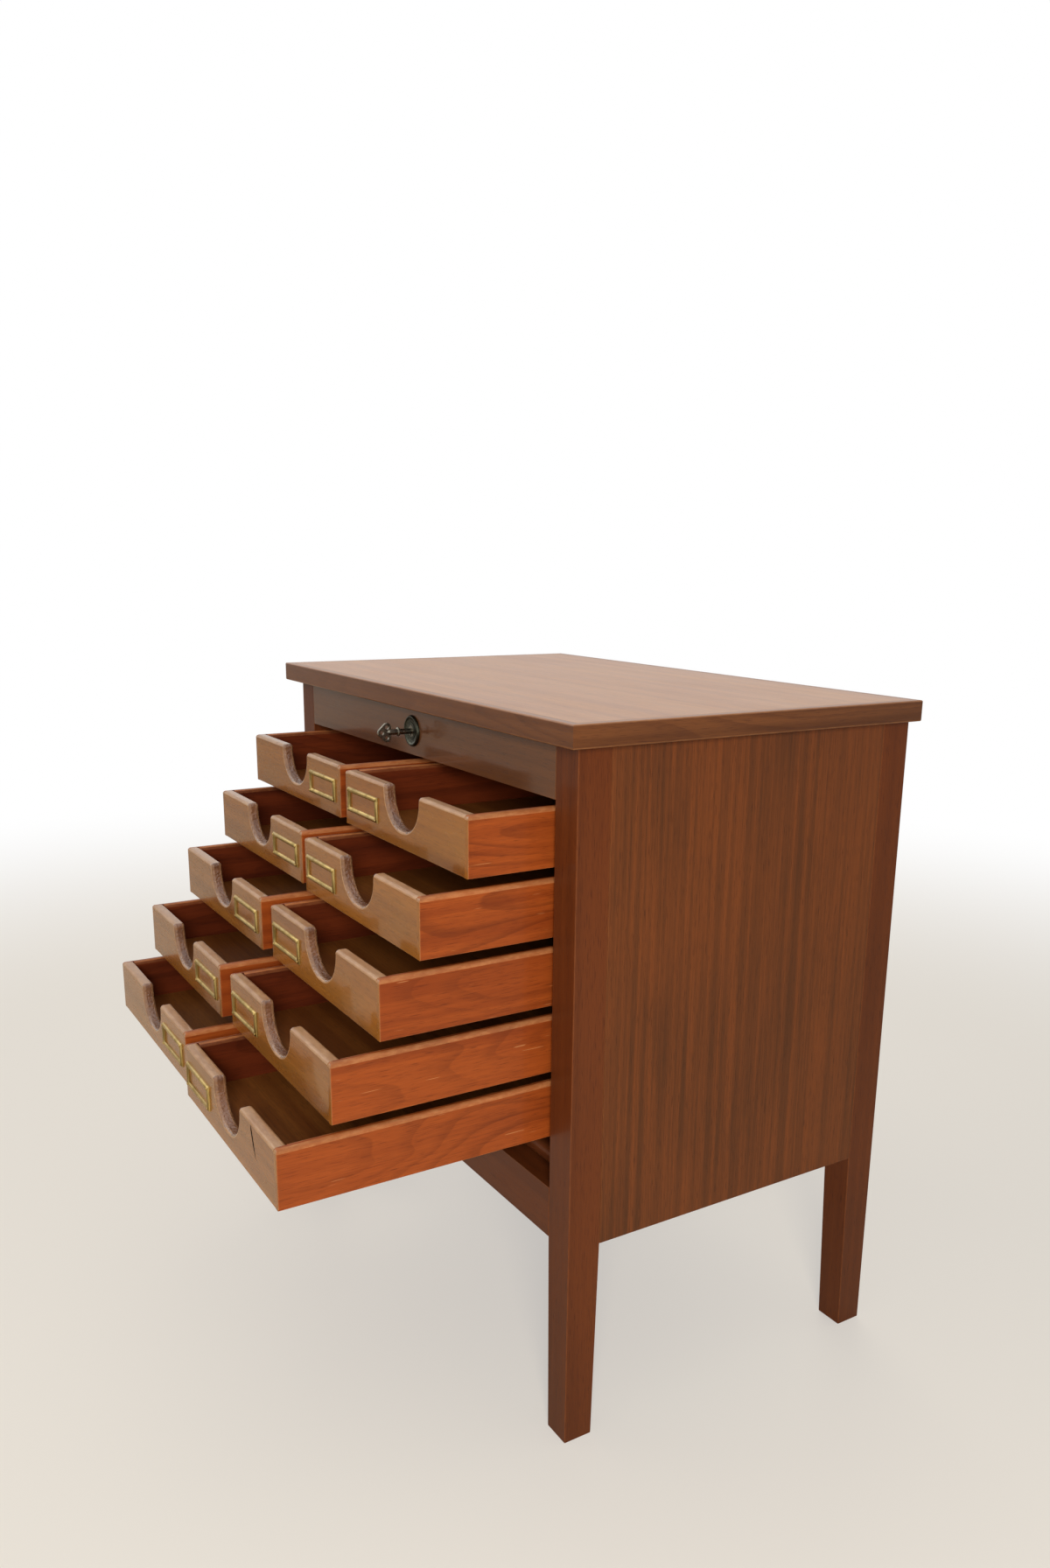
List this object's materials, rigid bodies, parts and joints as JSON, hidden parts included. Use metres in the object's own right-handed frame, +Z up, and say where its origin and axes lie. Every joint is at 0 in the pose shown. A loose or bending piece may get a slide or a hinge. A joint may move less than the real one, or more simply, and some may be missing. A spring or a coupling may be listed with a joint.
{
  "type": "paper cabinet",
  "caption": "Wooden paper cabinet on tapered legs with two columns of open tray drawers, finger notches, brass card holders and one lock that holds all drawers.",
  "frame": {"origin": "on the floor, in the middle of the footprint of the whole part as stored, with its drawers open", "axes": "+X from left to right along the front, -Y out of the front where the drawers open, +Z up from the floor"},
  "size_m": [0.658, 0.66, 0.7],
  "materials": {
    "case_wood": "satin",
    "top_wood": "gloss",
    "drawer_wood": "satin",
    "tray_plywood": "matte",
    "brass": "polished",
    "dark_metal": "satin",
    "nickel": "polished",
    "steel": "satin"
  },
  "bodies": {
    "case": {"leg_front_left": "case_wood", "leg_front_right": "case_wood", "leg_back_left": "case_wood", "leg_back_right": "case_wood", "side_panel_left": "case_wood", "side_panel_right": "case_wood", "back_panel": "case_wood", "top_front_rail": "case_wood", "lower_front_rail": "case_wood", "bottom_board": "case_wood", "centre_partition": "case_wood", "drawer_runners": "case_wood", "top_panel": "top_wood", "top_lippings": "top_wood", "lock_rosette": "dark_metal", "lock_case": "dark_metal", "lock_screws": "steel"},
    "drawer_left_1": {"drawer_left_1_front": "drawer_wood", "drawer_left_1_box": "drawer_wood", "drawer_left_1_bottom": "tray_plywood", "drawer_left_1_label_frame": "brass"},
    "drawer_right_1": {"drawer_right_1_front": "drawer_wood", "drawer_right_1_box": "drawer_wood", "drawer_right_1_bottom": "tray_plywood", "drawer_right_1_label_frame": "brass"},
    "drawer_left_2": {"drawer_left_2_front": "drawer_wood", "drawer_left_2_box": "drawer_wood", "drawer_left_2_bottom": "tray_plywood", "drawer_left_2_label_frame": "brass"},
    "drawer_right_2": {"drawer_right_2_front": "drawer_wood", "drawer_right_2_box": "drawer_wood", "drawer_right_2_bottom": "tray_plywood", "drawer_right_2_label_frame": "brass"},
    "drawer_left_3": {"drawer_left_3_front": "drawer_wood", "drawer_left_3_box": "drawer_wood", "drawer_left_3_bottom": "tray_plywood", "drawer_left_3_label_frame": "brass"},
    "drawer_right_3": {"drawer_right_3_front": "drawer_wood", "drawer_right_3_box": "drawer_wood", "drawer_right_3_bottom": "tray_plywood", "drawer_right_3_label_frame": "brass"},
    "drawer_left_4": {"drawer_left_4_front": "drawer_wood", "drawer_left_4_box": "drawer_wood", "drawer_left_4_bottom": "tray_plywood", "drawer_left_4_label_frame": "brass"},
    "drawer_right_4": {"drawer_right_4_front": "drawer_wood", "drawer_right_4_box": "drawer_wood", "drawer_right_4_bottom": "tray_plywood", "drawer_right_4_label_frame": "brass"},
    "drawer_left_5": {"drawer_left_5_front": "drawer_wood", "drawer_left_5_box": "drawer_wood", "drawer_left_5_bottom": "tray_plywood", "drawer_left_5_label_frame": "brass"},
    "drawer_right_5": {"drawer_right_5_front": "drawer_wood", "drawer_right_5_box": "drawer_wood", "drawer_right_5_bottom": "tray_plywood", "drawer_right_5_label_frame": "brass"},
    "key": {"lock_plug": "nickel", "key": "nickel"},
    "bar": {"locking_bar": "steel"}
  },
  "joints": [
    {"name": "drawer_left_1_slide", "type": "slide", "parent": "case", "child": "drawer_left_1", "axis": [0, -1, 0], "range_m": [-0.079, 0.221]},
    {"name": "drawer_right_1_slide", "type": "slide", "parent": "case", "child": "drawer_right_1", "axis": [0, -1, 0], "range_m": [-0.083, 0.217]},
    {"name": "drawer_left_2_slide", "type": "slide", "parent": "case", "child": "drawer_left_2", "axis": [0, -1, 0], "range_m": [-0.123, 0.177]},
    {"name": "drawer_right_2_slide", "type": "slide", "parent": "case", "child": "drawer_right_2", "axis": [0, -1, 0], "range_m": [-0.129, 0.171]},
    {"name": "drawer_left_3_slide", "type": "slide", "parent": "case", "child": "drawer_left_3", "axis": [0, -1, 0], "range_m": [-0.169, 0.131]},
    {"name": "drawer_right_3_slide", "type": "slide", "parent": "case", "child": "drawer_right_3", "axis": [0, -1, 0], "range_m": [-0.167, 0.133]},
    {"name": "drawer_left_4_slide", "type": "slide", "parent": "case", "child": "drawer_left_4", "axis": [0, -1, 0], "range_m": [-0.215, 0.085]},
    {"name": "drawer_right_4_slide", "type": "slide", "parent": "case", "child": "drawer_right_4", "axis": [0, -1, 0], "range_m": [-0.212, 0.088]},
    {"name": "drawer_left_5_slide", "type": "slide", "parent": "case", "child": "drawer_left_5", "axis": [0, -1, 0], "range_m": [-0.254, 0.046]},
    {"name": "drawer_right_5_slide", "type": "slide", "parent": "case", "child": "drawer_right_5", "axis": [0, -1, 0], "range_m": [-0.261, 0.039]},
    {"name": "key_turn", "type": "hinge", "parent": "case", "child": "key", "pos_m": [0, -0.06695, 0.6535], "axis": [0, 1, 0], "range_deg": [0, 90]},
    {"name": "bar_slide", "type": "slide", "parent": "case", "child": "bar", "axis": [0, 0, -1], "range_m": [0, 0.009]}
  ],
  "couplings": [
    {"joint": "key_turn", "follows": "bar_slide", "rad_per_m": 174.5}
  ]
}
